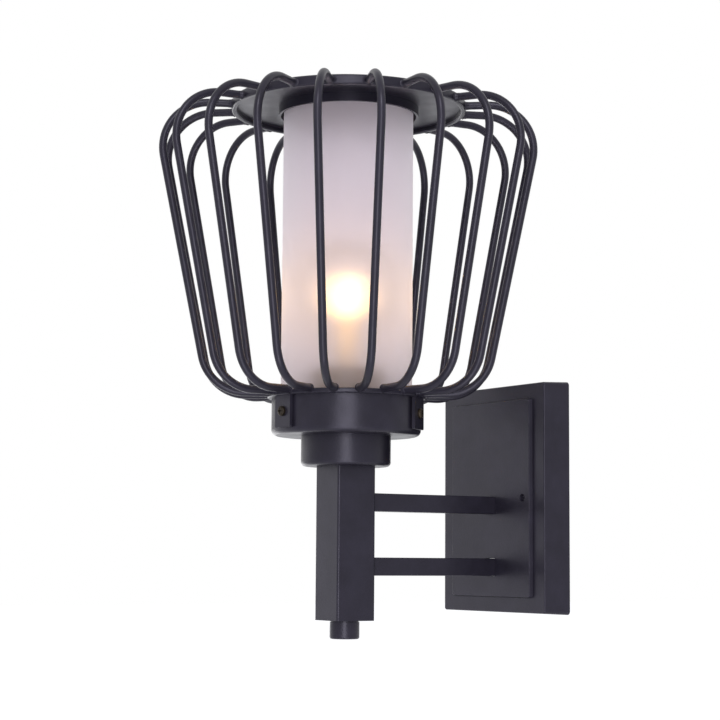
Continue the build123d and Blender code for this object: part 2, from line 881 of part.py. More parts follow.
def make_glass_seat():
    """Channel-shaped seal on the cup's floor that the glass stands in."""
    outer = glass_diameter / 2 + slip_gap
    inner = glass_diameter / 2 - glass_wall - slip_gap
    lip_top = glass_bottom + seat_height
    return turned(
        [
            (inner - seat_lip, cup_floor),
            (outer + seat_lip, cup_floor),
            (outer + seat_lip, lip_top),
            (outer, lip_top),
            (outer, glass_bottom),
            (inner, glass_bottom),
            (inner, lip_top),
            (inner - seat_lip, lip_top),
        ]
    )


def make_glass():
    """Frosted glass tube, open at both ends."""
    tube = ring(glass_diameter, glass_diameter - 2 * glass_wall, glass_bottom, glass_top)
    return fillet(tube.edges().filter_by(GeomType.CIRCLE), glass_edge)


def make_top_seal():
    """Flat seal between the glass and the disc."""
    middle = glass_diameter - glass_wall
    outer = middle + top_seal_width
    inner = middle - top_seal_width
    return ring(outer, inner, glass_top, disc_underside)


def make_top_ring():
    """Ring that the wires' upper ends are welded to, round the disc."""
    inner = top_ring_diameter - 2 * top_ring_width
    band = ring(top_ring_diameter, inner, top_ring_bottom, top_ring_bottom + top_ring_height)
    return fillet(band.edges().filter_by(GeomType.CIRCLE), top_ring_edge)


def make_top_disc():
    """Disc that closes the top of the cage."""
    diameter = top_ring_diameter - 2 * top_ring_width - 2 * slip_gap
    return upright(diameter, disc_underside, disc_underside + disc_thickness, from_wall=reach)


def make_sleeve():
    """Short sleeve under the disc that keeps the glass in place."""
    inner = glass_diameter + 2 * sleeve_room
    low = disc_underside - sleeve_drop
    return ring(inner + 2 * sleeve_wall, inner, low, disc_underside)


def make_bottom_ring():
    """Ring on the cup's rim that the wires' lower ends are welded to."""
    inner = bottom_ring_diameter - 2 * bottom_ring_width
    band = ring(bottom_ring_diameter, inner, cup_rim, cup_rim + bottom_ring_height)
    outer_edges = band.edges().filter_by(GeomType.CIRCLE).sort_by(SortBy.LENGTH)[-2:]
    return fillet(outer_edges, bottom_ring_edge)


def make_tabs():
    """Flat tabs that hang from the bottom ring outside the cup, each with its screw's hole."""
    near = cup_diameter / 2 + slip_gap
    far = near + tab_thickness
    low = cup_bottom + tab_end_room
    piece = slab(tab_width, cup_rim - low, reach + near, reach + far, middle=(low + cup_rim) / 2)
    bottom = piece.edges().filter_by(Axis.Y).group_by(Axis.Z)[0]
    bore = tab_screw_diameter + 2 * slip_gap
    hole = radial(bore, near - overrun, far + overrun, tab_screw_height)
    tab = fillet(bottom, tab_corner) - hole
    return [round_about(tab, angle) for angle in tab_angles()]


def make_tab_screws():
    """Round-headed screws with a cross recess, through the tabs into the cup."""
    seat = cup_diameter / 2 + slip_gap + tab_thickness
    top = seat + tab_screw_head_height
    head = radial(tab_screw_head, seat, top, tab_screw_height)
    rim = head.faces().sort_by(Axis.Y)[0].edges()
    screw = fillet(rim, tab_screw_head_height / 2)
    screw += radial(tab_screw_diameter, seat - tab_screw_length, seat, tab_screw_height)
    near = reach + top - recess_depth
    far = reach + top + overrun
    for width, height in ((recess_length, recess_width), (recess_width, recess_length)):
        screw -= slab(width, height, near, far, middle=tab_screw_height)
    return [round_about(screw, angle) for angle in tab_angles()]


def make_wire():
    """One wire of the cage: in along the top, down the leg and in along the bottom."""
    top_end = reach + top_ring_diameter / 2
    bottom_end = reach + bottom_ring_diameter / 2
    top = top_ring_bottom + wire_in_ring
    bottom = cup_rim + wire_lift
    points = [
        (0, -top_end, top),
        (0, -top_end - shoulder_reach, top),
        (0, -bottom_end - heel_reach, bottom),
        (0, -bottom_end, bottom),
    ]
    return swept(rounded_route(points, [wire_shoulder_bend, wire_heel_bend]), wire_diameter)


def make_wires():
    """All the cage's wires, evenly spaced, by name."""
    wire = make_wire()
    return {
        f"cage_wire_{count + 1:02d}": round_about(wire, first_wire_angle + count * 360 / wire_count)
        for count in range(wire_count)
    }


nodes = {
    "backplate": make_backplate(),
    "mounting_bar": make_mounting_bar(),
    "inner_plate": make_inner_plate(),
    "upper_arm": make_arm(upper_arm_height),
    "lower_arm": make_arm(lower_arm_height),
    "terminal_block": make_terminal_block(),
    "terminal_screws": make_terminal_screws(),
    "block_screw": make_block_screw(),
    "earth_screw": make_earth_screw(),
    "earth_lead": make_earth_lead(),
    "lamp_leads": make_lamp_leads(),
    "post": make_post(),
    "post_plugs": make_post_plugs(),
    "threaded_pipe": make_pipe(),
    "knob_washer": make_washer(),
    "knob": make_knob(),
    "collar": make_collar(),
    "cup": make_cup(),
    "pipe_nut": make_pipe_nut(),
    "holder_bracket": make_bracket(),
    "holder_screws": make_holder_screws(),
    "holder_body": make_holder_body(),
    "holder_terminals": make_terminals(),
    "holder_tongue": make_tongue(),
    "screw_shell": make_screw_shell(),
    "lamp_contact": make_lamp_contact(),
    "lamp_insulator": make_insulator(),
    "lamp_cap": make_cap(),
    "lamp_envelope": make_envelope(),
    "lamp_stem": make_stem(),
    "lamp_filament": make_filament(),
    "glass_seat": make_glass_seat(),
    "glass_tube": make_glass(),
    "top_seal": make_top_seal(),
    "top_ring": make_top_ring(),
    "top_disc": make_top_disc(),
    "glass_sleeve": make_sleeve(),
    "bottom_ring": make_bottom_ring(),
    "cage_tabs": make_tabs(),
    "tab_screws": make_tab_screws(),
}
nodes.update(make_wires())

os.makedirs("parts", exist_ok=True)
for name, piece in nodes.items():
    shape = Compound(children=piece) if isinstance(piece, list) else piece
    export_step(shape, f"parts/{name}.step")
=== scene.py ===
import math

import bmesh
import bpy
from bpy.props import FloatProperty, FloatVectorProperty, PointerProperty
from mathutils import Matrix, Vector


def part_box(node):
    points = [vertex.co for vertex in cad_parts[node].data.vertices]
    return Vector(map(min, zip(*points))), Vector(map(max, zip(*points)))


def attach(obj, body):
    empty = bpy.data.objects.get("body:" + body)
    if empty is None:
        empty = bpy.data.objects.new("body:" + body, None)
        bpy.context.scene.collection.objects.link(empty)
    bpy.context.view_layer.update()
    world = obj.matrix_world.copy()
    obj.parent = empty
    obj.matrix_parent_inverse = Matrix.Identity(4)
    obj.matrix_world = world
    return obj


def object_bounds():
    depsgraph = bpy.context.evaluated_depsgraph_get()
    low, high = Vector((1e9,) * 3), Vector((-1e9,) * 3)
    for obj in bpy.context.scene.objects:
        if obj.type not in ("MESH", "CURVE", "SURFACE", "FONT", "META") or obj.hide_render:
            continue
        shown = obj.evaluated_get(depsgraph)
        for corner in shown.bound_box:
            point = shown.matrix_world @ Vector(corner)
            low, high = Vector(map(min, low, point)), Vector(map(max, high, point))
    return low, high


bl_info = {
    "name": "Cage Wall Light",
    "version": (1, 0, 0),
    "blender": (4, 5, 0),
    "location": "View3D > Sidebar > Wall Light",
    "description": "Finishes an outdoor wall light with a wire cage and a frosted glass tube",
    "category": "Object",
}

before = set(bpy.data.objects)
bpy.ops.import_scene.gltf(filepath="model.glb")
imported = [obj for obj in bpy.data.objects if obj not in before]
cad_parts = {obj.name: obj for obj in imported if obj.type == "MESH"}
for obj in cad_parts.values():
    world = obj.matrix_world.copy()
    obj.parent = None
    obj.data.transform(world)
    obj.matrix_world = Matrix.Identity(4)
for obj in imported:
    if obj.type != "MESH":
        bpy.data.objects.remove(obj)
cad_box = [list(corner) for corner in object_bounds()]

MM = 0.001
UP = Vector((0, 0, 1))
WHITE = (1, 1, 1)
CLEAR_GLASS = "#FDFEFE"
WIRES = sorted(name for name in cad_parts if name.startswith("cage_wire_"))

# Sockets of a Mix node for colours, by number, since its sockets for other values share their names.
MIX_FIRST = 6
MIX_SECOND = 7
MIX_RESULT = 2


def middle_of(node):
    """Middle of a CAD node's box, in metres."""
    low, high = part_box(node)
    return (low + high) / 2


def size_of(node):
    """Size of a CAD node's box, in metres."""
    low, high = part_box(node)
    return high - low


AXIS = middle_of("glass_tube")


def linear(code):
    """Linear RGB from an sRGB hex code."""
    parts = [int(code[i : i + 2], 16) / 255 for i in (1, 3, 5)]
    return tuple(c / 12.92 if c <= 0.04045 else ((c + 0.055) / 1.055) ** 2.4 for c in parts)


def rgba(color):
    """The colour with full opacity."""
    return (*color, 1.0)


def add(tree, kind, inputs=None, **settings):
    """Adds a node with its settings and inputs. A node as an input is linked by its first output."""
    node = tree.nodes.new(kind)
    for name, value in settings.items():
        setattr(node, name, value)
    for key, value in (inputs or {}).items():
        if isinstance(value, bpy.types.Node):
            value = value.outputs[0]
        if isinstance(value, bpy.types.NodeSocket):
            tree.links.new(value, node.inputs[key])
        else:
            node.inputs[key].default_value = value
    return node


def start(name):
    """An empty material and its tree."""
    material = bpy.data.materials.new(name)
    material.use_nodes = True
    material.node_tree.nodes.clear()
    return material, material.node_tree


def place_in_mm(tree):
    """The point's place in millimetres, so that a scale of 1 is a pattern of 1 mm."""
    place = add(tree, "ShaderNodeTexCoord").outputs["Object"]
    return add(tree, "ShaderNodeVectorMath", {0: place, "Scale": 1 / MM}, operation="SCALE")


def drift(tree, place, lump, low, high, detail=2.0, crumble=0.5):
    """A value that drifts between low and high, in lumps about lump millimetres across."""
    pattern = {"Vector": place, "Scale": 1 / lump, "Detail": detail, "Roughness": crumble}
    cloud = add(tree, "ShaderNodeTexNoise", pattern)
    # Most of the pattern's values lie between 0.3 and 0.7.
    spread = {"Value": cloud, "From Min": 0.3, "From Max": 0.7, "To Min": low, "To Max": high}
    return add(tree, "ShaderNodeMapRange", spread)


def drifting_color(tree, place, first, second, lump, detail, crumble=0.5):
    """A colour that drifts between two, in lumps about lump millimetres across."""
    share = drift(tree, place, lump, low=0.0, high=1.0, detail=detail, crumble=crumble)
    colors = {"Factor": share, MIX_FIRST: rgba(first), MIX_SECOND: rgba(second)}
    return add(tree, "ShaderNodeMix", colors, data_type="RGBA").outputs[MIX_RESULT]


def relief(tree, place, lump, depth, detail=2.0, crumble=0.5, under=None):
    """A normal for lumps about lump millimetres across and depth millimetres deep."""
    pattern = {"Vector": place, "Scale": 1 / lump, "Detail": detail, "Roughness": crumble}
    height = add(tree, "ShaderNodeTexNoise", pattern)
    lumps = {"Height": height, "Strength": 1.0, "Distance": depth * MM}
    if under is not None:
        lumps["Normal"] = under
    return add(tree, "ShaderNodeBump", lumps)


def dress(material, *nodes):
    """Gives CAD nodes a material."""
    for name in nodes:
        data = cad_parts[name].data
        data.materials.clear()
        data.materials.append(material)


def new_piece(name, build, body, material):
    """A mesh piece that rides on a body."""
    mesh = bpy.data.meshes.new(name)
    built = bmesh.new()
    build(built)
    bmesh.ops.recalc_face_normals(built, faces=built.faces)
    built.to_mesh(mesh)
    built.free()
    mesh.materials.append(material)
    for face in mesh.polygons:
        face.use_smooth = True
    piece = bpy.data.objects.new(name, mesh)
    bpy.context.scene.collection.objects.link(piece)
    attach(piece, body)


class CoatSettings(bpy.types.PropertyGroup):
    """Black powder coat."""

    color: FloatVectorProperty(
        name="Coat colour",
        description="Colour of the black powder coat",
        subtype="COLOR",
        size=3,
        min=0,
        max=1,
        default=linear("#1B1922"),
    )
    roughness: FloatProperty(
        name="Coat roughness",
        description="Roughness of the satin coat",
        subtype="FACTOR",
        min=0,
        max=1,
        default=0.34,
    )
    peel: FloatProperty(
        name="Orange peel",
        description="Distance between the small waves that the coat flows into",
        subtype="DISTANCE",
        unit="LENGTH",
        min=0.2 * MM,
        max=5 * MM,
        default=0.9 * MM,
    )


class GlassSettings(bpy.types.PropertyGroup):
    """Frosted glass tube."""

    color: FloatVectorProperty(
        name="Glass colour",
        description="Tint of the frosted glass",
        subtype="COLOR",
        size=3,
        min=0,
        max=1,
        default=linear("#F7F4F8"),
    )
    frost: FloatProperty(
        name="Frost",
        description="Roughness of the etched surface",
        subtype="FACTOR",
        min=0,
        max=1,
        default=0.8,
    )
    milk: FloatProperty(
        name="Milkiness",
        description="Share of the light that the etched skin scatters every way",
        subtype="FACTOR",
        min=0,
        max=1,
        default=0.55,
    )
    skin: FloatProperty(
        name="Whiteness",
        description="Share of the scattered light that the skin throws back",
        subtype="FACTOR",
        min=0,
        max=1,
        default=0.09,
    )
    sheen: FloatProperty(
        name="Edge sheen",
        description="Share of the light that the skin reflects where it turns away",
        subtype="FACTOR",
        min=0,
        max=1,
        default=0.48,
    )


class LampSettings(bpy.types.PropertyGroup):
    """Lit lamp."""

    color: FloatVectorProperty(
        name="Lamp colour",
        description="Colour of the lamp's light",
        subtype="COLOR",
        size=3,
        min=0,
        max=1,
        default=linear("#FFC256"),
    )
    power: FloatProperty(
        name="Lamp power",
        description="Power of the lamp's glow",
        subtype="POWER",
        min=0,
        default=0.045,
    )
    glow: FloatProperty(
        name="Filament glow",
        description="Strength of the filament's own glow",
        min=0,
        default=10.0,
    )
    # The stem's glow is painted light: an emission on glass that is no lamp.
    stem: FloatProperty(
        name="Stem glow",
        description="Strength of the glow at the top of the lamp's inner glass stem",
        min=0,
        default=3.0,
    )


class WeldSettings(bpy.types.PropertyGroup):
    """Weld beads at the wires' ends."""

    rise: FloatProperty(
        name="Weld rise",
        description="How far a weld stands out round its wire",
        subtype="DISTANCE",
        unit="LENGTH",
        min=0,
        default=1.5 * MM,
    )
    reach: FloatProperty(
        name="Weld reach",
        description="How far a weld runs along its wire",
        subtype="DISTANCE",
        unit="LENGTH",
        min=0,
        default=2.2 * MM,
    )


class StageSettings(bpy.types.PropertyGroup):
    """Floor, lamps and camera."""

    floor_drop: FloatProperty(
        name="Floor drop",
        description="Distance from the light's lowest point down to the floor",
        subtype="DISTANCE",
        unit="LENGTH",
        min=0,
        default=0.8,
    )
    focal_length: FloatProperty(
        name="Focal length",
        description="Focal length on a 36 mm sensor",
        subtype="DISTANCE_CAMERA",
        unit="CAMERA",
        min=1,
        default=93.33,
    )
    key_power: FloatProperty(
        name="Key power",
        description="Power of the tall soft lamp behind the camera",
        subtype="POWER",
        min=0,
        default=16.5,
    )
    low_power: FloatProperty(
        name="Low power",
        description="Power of the small soft lamp near the floor in front",
        subtype="POWER",
        min=0,
        default=2,
    )
    high_power: FloatProperty(
        name="High power",
        description="Power of the soft lamp high over the camera",
        subtype="POWER",
        min=0,
        default=12,
    )
    side_power: FloatProperty(
        name="Side power",
        description="Power of the soft lamp on the other side",
        subtype="POWER",
        min=0,
        default=1.12,
    )
    side_color: FloatVectorProperty(
        name="Side colour",
        description="Colour of the soft lamp on the other side",
        subtype="COLOR",
        size=3,
        min=0,
        max=1,
        default=linear("#F5F3FF"),
    )
    back_power: FloatProperty(
        name="Back power",
        description="Power of the low soft lamp behind the light",
        subtype="POWER",
        min=0,
        default=3,
    )


class WallLightSettings(bpy.types.PropertyGroup):
    """All settings of the wall light."""

    coat: PointerProperty(type=CoatSettings)
    glass: PointerProperty(type=GlassSettings)
    lamp: PointerProperty(type=LampSettings)
    weld: PointerProperty(type=WeldSettings)
    stage: PointerProperty(type=StageSettings)


def powder_coat(settings):
    """Polyester powder coat, black, sprayed on and baked on steel.

    It flows out satin, with a faint orange peel and a cool sheen where it turns away.
    """
    material, tree = start("satin powder coat, baked")
    place = place_in_mm(tree)
    shade = 0.25
    darker = tuple(c * (1 - shade) for c in settings.color)
    lighter = tuple(c * (1 + shade) for c in settings.color)
    dulling = 0.05
    smooth = settings.roughness - dulling
    dull = settings.roughness + dulling
    waves = relief(tree, place, settings.peel / MM, depth=0.012, detail=1.0)
    # The powder's own grain of about 0.1 mm, drawn at 1.1 mm so that it shows.
    grain = relief(tree, place, lump=1.1, depth=0.06, crumble=0.7, under=waves)
    coat = {
        "Base Color": drifting_color(tree, place, darker, lighter, lump=18.0, detail=4.0, crumble=0.6),
        "Roughness": drift(tree, place, lump=16.0, low=smooth, high=dull),
        "Specular IOR Level": 0.3,
        "Specular Tint": rgba(linear("#ECE8FC")),
        "Normal": grain,
    }
    shader = add(tree, "ShaderNodeBsdfPrincipled", coat)
    add(tree, "ShaderNodeOutputMaterial", {"Surface": shader})
    return material


def metal(name, hex_low, hex_high, roughness, lump=12.0, metallic=1.0):
    """A bare or plated metal whose colour and gloss drift a little over lump millimetres."""
    material, tree = start(name)
    place = place_in_mm(tree)
    polish = roughness - 0.06
    wear = roughness + 0.08
    # The tool's own marks are some hundredths of a millimetre, drawn about ten times as coarse.
    marks = relief(tree, place, lump / 16, depth=0.01)
    plate = {
        "Base Color": drifting_color(tree, place, linear(hex_low), linear(hex_high), lump, detail=3.0),
        "Metallic": metallic,
        "Roughness": drift(tree, place, lump / 4, low=polish, high=wear, detail=4.0),
        "Normal": marks,
    }
    shader = add(tree, "ShaderNodeBsdfPrincipled", plate)
    add(tree, "ShaderNodeOutputMaterial", {"Surface": shader})
    return material


def moulded(name, hex_low, hex_high, roughness, grain, depth, lump=10.0):
    """A non-metal whose colour drifts over lump millimetres, with a grain of its own."""
    material, tree = start(name)
    place = place_in_mm(tree)
    glossy = roughness - 0.04
    dull = roughness + 0.06
    resin = {
        "Base Color": drifting_color(tree, place, linear(hex_low), linear(hex_high), lump, detail=3.0),
        "Roughness": drift(tree, place, lump / 3, low=glossy, high=dull, detail=3.0),
        "Normal": relief(tree, place, grain, depth),
    }
    shader = add(tree, "ShaderNodeBsdfPrincipled", resin)
    add(tree, "ShaderNodeOutputMaterial", {"Surface": shader})
    return material


def frosted_glass(settings):
    """Soda-lime glass tube, drawn, and frosted by acid etching.

    The etched skin scatters what passes, so the lamp shows as a soft bright core with a wide halo.
    """
    material, tree = start("frosted glass, acid etched")
    place = place_in_mm(tree)
    tint = rgba(settings.color)
    # The etch's pits of some hundredths of a millimetre, drawn at 0.4 mm so that they show.
    etch = relief(tree, place, lump=0.4, depth=0.01)
    wander = 0.02
    smooth = settings.frost - wander
    rough = settings.frost + wander
    frost = drift(tree, place, lump=40.0, low=smooth, high=rough)
    # Less than the 1.52 of glass, matched to how little the tube's wall bends the light.
    bending = 1.3
    through = {"Color": tint, "Roughness": frost, "IOR": bending, "Normal": etch}
    clear = add(tree, "ShaderNodeBsdfRefraction", through)
    milk = add(tree, "ShaderNodeBsdfTranslucent", {"Color": tint, "Normal": etch})
    skin = add(tree, "ShaderNodeBsdfDiffuse", {"Color": tint, "Normal": etch})
    scattered = add(tree, "ShaderNodeMixShader", {0: settings.skin, 1: milk, 2: skin})
    core = add(tree, "ShaderNodeMixShader", {0: settings.milk, 1: clear, 2: scattered})
    sheen = add(tree, "ShaderNodeBsdfGlossy", {"Color": tint, "Roughness": 0.6, "Normal": etch})
    turned = add(tree, "ShaderNodeLayerWeight", {"Blend": 0.5, "Normal": etch}).outputs["Facing"]
    edge = add(tree, "ShaderNodeMath", {0: turned, 1: settings.sheen}, operation="MULTIPLY")
    outside = add(tree, "ShaderNodeMixShader", {0: edge, 1: core, 2: sheen})
    # The inner wall stays clear, so that the light is scattered once, where it leaves the tube.
    inside = add(tree, "ShaderNodeBsdfTransparent", {"Color": tint})
    from_axis = add(tree, "ShaderNodeVectorMath", {0: place, 1: AXIS / MM}, operation="SUBTRACT")
    level = add(tree, "ShaderNodeVectorMath", {0: from_axis, 1: (1, 1, 0)}, operation="MULTIPLY")
    radius = add(tree, "ShaderNodeVectorMath", {0: level}, operation="LENGTH").outputs["Value"]
    half_wall = 1.5
    middle = size_of("glass_tube").x / 2 / MM - half_wall
    outer = add(tree, "ShaderNodeMath", {0: radius, 1: middle}, operation="GREATER_THAN")
    shader = add(tree, "ShaderNodeMixShader", {0: outer, 1: inside, 2: outside})
    add(tree, "ShaderNodeOutputMaterial", {"Surface": shader})
    return material


def thin_glass():
    """Soda-lime lamp glass, blown thin.

    So thin that it hardly bends what is behind it, and shows mostly at its turned-away edges.
    """
    material, tree = start("lamp glass, blown")
    ripple = relief(tree, place_in_mm(tree), lump=14.0, depth=0.02, detail=1.0)
    clear = add(tree, "ShaderNodeBsdfTransparent", {"Color": rgba(linear(CLEAR_GLASS))})
    gloss = add(tree, "ShaderNodeBsdfGlossy", {"Roughness": 0.04, "Normal": ripple})
    edge = add(tree, "ShaderNodeFresnel", {"IOR": 1.5, "Normal": ripple})
    faintness = 0.25
    share = add(tree, "ShaderNodeMath", {0: edge, 1: faintness}, operation="MULTIPLY")
    shader = add(tree, "ShaderNodeMixShader", {0: share, 1: clear, 2: gloss})
    add(tree, "ShaderNodeOutputMaterial", {"Surface": shader})
    return material


def pressed_glass(settings):
    """Lead glass, drawn and pressed flat round the lamp's wires.

    Thick glass. Its glow is painted light: an emission on glass that is no lamp, brightest at the top
    near the filament and fading down, standing in for the filament's light led down the glass.
    """
    material, tree = start("lamp stem glass, pressed")
    place = place_in_mm(tree)
    low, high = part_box("lamp_stem")
    foot_share = 0.02
    rising = {
        "Value": add(tree, "ShaderNodeSeparateXYZ", {0: place}).outputs["Z"],
        "From Min": low.z / MM,
        "From Max": high.z / MM,
        "To Min": foot_share * settings.stem,
        "To Max": settings.stem,
    }
    fade = add(tree, "ShaderNodeMapRange", rising)
    cloud = drift(tree, place, lump=3.0, low=0.6, high=1.4)
    glow = add(tree, "ShaderNodeMath", {0: fade, 1: cloud}, operation="MULTIPLY")
    # Painted glow on the stem glass, which is no lamp: brightest at its top near the filament, fading
    # to its foot, in faint patches.
    painted_stem_glow = add(tree, "ShaderNodeEmission", {"Color": rgba(settings.color), "Strength": glow})
    clear = add(tree, "ShaderNodeBsdfTransparent", {"Color": rgba(linear(CLEAR_GLASS))})
    painted_glow_share = 0.5
    shader = add(tree, "ShaderNodeMixShader", {0: painted_glow_share, 1: clear, 2: painted_stem_glow})
    add(tree, "ShaderNodeOutputMaterial", {"Surface": shader})
    return material


def glowing_filament(settings):
    """Tungsten wire, drawn and coiled, white hot in the lit lamp.

    It is whiter than the light that it casts, as the brightest spot always looks.
    """
    material, tree = start("tungsten, coiled and lit")
    # The coil's turns, about 0.1 mm apart, drawn as 0.6 mm lumps of brightness so that they show.
    coil = drift(tree, place_in_mm(tree), lump=0.6, low=0.7, high=1.3, detail=1.0)
    strength = add(tree, "ShaderNodeMath", {0: coil, 1: settings.glow}, operation="MULTIPLY")
    hot = tuple((1 + c) / 2 for c in settings.color)
    shader = add(tree, "ShaderNodeEmission", {"Color": rgba(hot), "Strength": strength})
    add(tree, "ShaderNodeOutputMaterial", {"Surface": shader})
    return material


class PowderCoatOperator(bpy.types.Operator):
    """Coats the plate, arms, post, knob, collar, cup and cage"""

    bl_idname = "wall_light.powder_coat"
    bl_label = "Powder coat"

    def execute(self, context):
        coat = powder_coat(context.scene.wall_light.coat)
        dress(coat, "backplate", "mounting_bar", "upper_arm", "lower_arm")
        dress(coat, "post", "post_plugs", "knob_washer", "knob", "collar", "cup")
        dress(coat, "cage_tabs", "bottom_ring", "top_ring", "top_disc", "glass_sleeve", *WIRES)
        return {"FINISHED"}


def weld_collar(built, place, outward, wire_radius, rise, reach):
    """Concave fillet round a wire's end, lower above and below the wire than at its sides."""
    side = UP.cross(outward)
    rings = []
    steps = 7
    around = 24
    flatness = 0.3
    # Keeps the weld's thin end just off the wire.
    clear = 0.05 * MM
    for step in range(steps):
        turn = step / (steps - 1) * math.pi / 2
        along = reach * (1 - math.cos(turn))
        extra = rise * (1 - math.sin(turn))
        wide = wire_radius + extra + clear
        tall = wire_radius + extra * flatness + clear
        ring = []
        for spoke in range(around):
            angle = spoke / around * math.tau
            offset = side * math.cos(angle) * wide + UP * math.sin(angle) * tall
            ring.append(built.verts.new(place + outward * along + offset))
        rings.append(ring)
    for first, second in zip(rings, rings[1:]):
        for spoke in range(around):
            after = (spoke + 1) % around
            built.faces.new((first[spoke], first[after], second[after], second[spoke]))
    built.faces.new(rings[0])
    built.faces.new(rings[-1])


def wire_radius_of(name, away):
    """A wire's radius. It is bent in one plane, so its width across that plane is its thickness."""
    across = Vector((-away.y, away.x, 0))
    reach = [(vertex.co - AXIS).dot(across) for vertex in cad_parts[name].data.vertices]
    return (max(reach) - min(reach)) / 2


class WeldOperator(bpy.types.Operator):
    """Adds the weld at both ends of each wire of the cage"""

    bl_idname = "wall_light.welds"
    bl_label = "Welds"

    def execute(self, context):
        settings = context.scene.wall_light.weld
        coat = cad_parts["top_ring"].data.materials[0]
        top = size_of("top_ring").x / 2
        bottom = size_of("bottom_ring").x / 2
        for name in WIRES:
            low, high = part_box(name)
            away = (low + high) / 2 - AXIS
            away.z = 0
            away.normalize()
            wire_radius = wire_radius_of(name, away)
            upper = Vector((AXIS.x, AXIS.y, high.z - wire_radius)) + away * top
            lower = Vector((AXIS.x, AXIS.y, low.z + wire_radius)) + away * bottom

            def build(built):
                weld_collar(built, upper, away, wire_radius, settings.rise, settings.reach)
                # The welds on the bottom ring are a third as high.
                weld_collar(built, lower, away, wire_radius, settings.rise / 3, settings.reach)

            new_piece(name.replace("cage_wire", "weld"), build, "fixture", coat)
        return {"FINISHED"}


class GlassOperator(bpy.types.Operator):
    """Frosts the glass tube"""

    bl_idname = "wall_light.glass"
    bl_label = "Glass tube"

    def execute(self, context):
        dress(frosted_glass(context.scene.wall_light.glass), "glass_tube")
        return {"FINISHED"}


class LampOperator(bpy.types.Operator):
    """Finishes the lamp and lights it"""

    bl_idname = "wall_light.lamp"
    bl_label = "Lamp"

    def execute(self, context):
        settings = context.scene.wall_light.lamp
        dress(thin_glass(), "lamp_envelope")
        dress(pressed_glass(settings), "lamp_stem")
        dress(glowing_filament(settings), "lamp_filament")
        # Warm grey and bright.
        cap = metal("nickel-plated brass, rolled", "#B9B4A8", "#D2CDC0", roughness=0.25, lump=8.0)
        dress(cap, "lamp_cap")
        # Yellow and fairly bright.
        contact = metal("brass, pressed", "#B08A4A", "#CDA868", roughness=0.3, lump=6.0)
        dress(contact, "lamp_contact")
        # Nearly black, with the gloss of glass.
        insulator = moulded(
            "black glass, cast",
            "#0C0C10",
            "#18181E",
            roughness=0.18,
            grain=2.0,
            depth=0.02,
        )
        dress(insulator, "lamp_insulator")
        # The light comes from a ball this share of the envelope's width.
        source_share = 0.15
        light = bpy.data.lights.new("lamp glow", "POINT")
        light.energy = settings.power
        light.color = settings.color
        light.shadow_soft_size = source_share * size_of("lamp_envelope").x
        glow = bpy.data.objects.new("lamp glow", light)
        glow.location = middle_of("lamp_filament")
        context.scene.collection.objects.link(glow)
        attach(glow, "lamp")
        return {"FINISHED"}


class HolderOperator(bpy.types.Operator):
    """Finishes the lampholder"""

    bl_idname = "wall_light.holder"
    bl_label = "Lampholder"

    def execute(self, context):
        # Very dark brown, half glossy.
        phenolic = moulded(
            "phenolic resin, moulded",
            "#17120F",
            "#241C17",
            roughness=0.3,
            grain=1.5,
            depth=0.02,
            lump=18.0,
        )
        dress(phenolic, "holder_body")
        # Warm grey, a little duller than the lamp's cap.
        shell = metal("nickel-plated brass, spun", "#A9A498", "#C9C4B6", roughness=0.3, lump=8.0)
        dress(shell, "screw_shell")
        # Yellow, and duller than turned brass.
        brass = metal("brass, stamped", "#A98345", "#C9A362", roughness=0.35, lump=5.0)
        dress(brass, "holder_tongue", "holder_terminals")
        return {"FINISHED"}


class FasteningOperator(bpy.types.Operator):
    """Finishes the plated steel pieces and the screws"""

    bl_idname = "wall_light.fastenings"
    bl_label = "Pipe, plates and screws"

    def execute(self, context):
        # Pale grey and half dull, in faint patches.
        zinc = metal("steel, zinc plated", "#9DA0A3", "#BFC2C2", roughness=0.36, lump=10.0)
        dress(zinc, "inner_plate", "threaded_pipe", "pipe_nut")
        dress(zinc, "holder_bracket", "holder_screws", "block_screw")
        # Dark brown and half matt.
        brown = metal("steel, browned", "#211C17", "#382F25", roughness=0.45, lump=3.0, metallic=0.8)
        dress(brown, "tab_screws")
        return {"FINISHED"}


def sleeve_rubber(tree, place, second, hex_first, hex_second):
    """Matt silicone rubber that has its second colour where second is 1."""
    first_color = rgba(linear(hex_first))
    second_color = rgba(linear(hex_second))
    colors = {"Factor": second, MIX_FIRST: first_color, MIX_SECOND: second_color}
    rubber = {
        "Base Color": add(tree, "ShaderNodeMix", colors, data_type="RGBA").outputs[MIX_RESULT],
        "Roughness": drift(tree, place, lump=3.0, low=0.5, high=0.65),
        "Normal": relief(tree, place, lump=0.5, depth=0.01),
    }
    shader = add(tree, "ShaderNodeBsdfPrincipled", rubber)
    add(tree, "ShaderNodeOutputMaterial", {"Surface": shader})


def two_leads():
    """Silicone rubber, extruded over the lamp's two leads.

    Matt, brown on the live side of the block and blue on the other.
    """
    material, tree = start("silicone sleeve, extruded")
    place = place_in_mm(tree)
    x, y, z = add(tree, "ShaderNodeSeparateXYZ", {0: place}).outputs
    # The line between the two, in millimetres. It is in the middle up to where they part, and
    # halfway between their two poles at the block.
    parting = {"Value": z, "From Min": 8.0, "From Max": 24.0, "To Min": 0.1, "To Max": 4.5}
    parted = add(tree, "ShaderNodeMapRange", parting)
    arm_end = -20.0
    near_wall = add(tree, "ShaderNodeMath", {0: y, 1: arm_end}, operation="GREATER_THAN")
    line = add(tree, "ShaderNodeMath", {0: parted, 1: near_wall}, operation="MULTIPLY")
    blue = add(tree, "ShaderNodeMath", {0: x, 1: line}, operation="GREATER_THAN")
    sleeve_rubber(tree, place, blue, "#6B3A22", "#2B5C9A")
    return material


